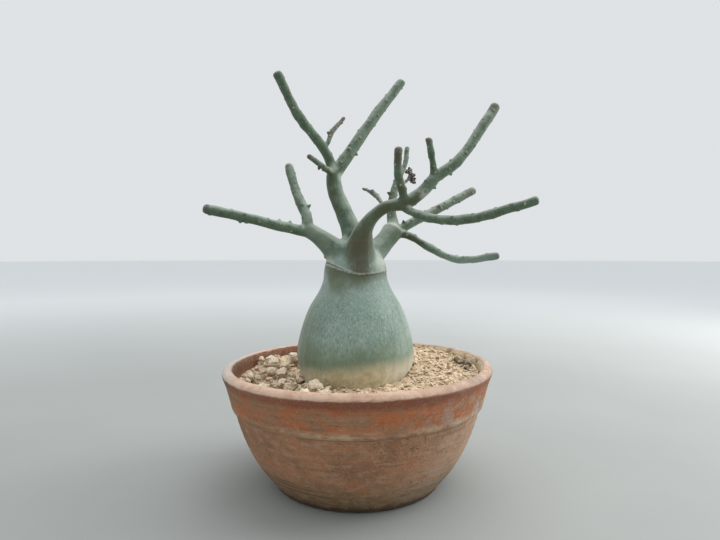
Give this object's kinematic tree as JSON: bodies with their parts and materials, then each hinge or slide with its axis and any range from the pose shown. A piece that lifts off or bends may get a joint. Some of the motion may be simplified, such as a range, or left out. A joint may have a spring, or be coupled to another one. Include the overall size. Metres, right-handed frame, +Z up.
{
  "type": "potted desert rose adenium",
  "caption": "Leafless desert rose with a swollen caudex and branching bare stems, standing in loose soil in a round terracotta bowl.",
  "frame": {"origin": "middle of the bowl's flat underside, on the surface that it stands on", "axes": "+Z up, -Y towards the front, +X to the right as seen from the front"},
  "size_m": [0.2331, 0.22, 0.3448],
  "materials": {
    "terracotta": "weathered unglazed terracotta, matte",
    "soil": "dry gritty sandy soil",
    "bark": "smooth grey-green succulent bark",
    "dry_stem": "withered, dry and rough"
  },
  "bodies": {
    "root": {"bowl": "terracotta", "soil": "soil", "clod_01": "soil", "clod_02": "soil", "clod_03": "soil", "clod_04": "soil", "clod_05": "soil", "clod_06": "soil", "clod_07": "soil", "clod_08": "soil", "clod_09": "soil", "clod_10": "soil", "clod_11": "soil", "clod_12": "soil", "clod_13": "soil", "clod_14": "soil", "clod_15": "soil", "clod_16": "soil", "damp_clod": "soil", "caudex": "bark", "front_limb": "bark", "centre_limb": "bark", "left_limb": "bark", "rear_limb": "bark", "left_long_shoot": "bark", "left_upright_shoot": "bark", "centre_right_shoot": "bark", "centre_left_shoot": "bark", "fork_twig": "bark", "centre_twig": "bark", "front_upper_shoot": "bark", "front_side_shoot": "bark", "front_upright_shoot": "bark", "front_long_shoot": "bark", "front_twig": "bark", "rear_upright_shoot": "bark", "rear_right_shoot": "bark", "rear_low_shoot": "bark", "dried_stalk": "dry_stem"}
  },
  "joints": []
}
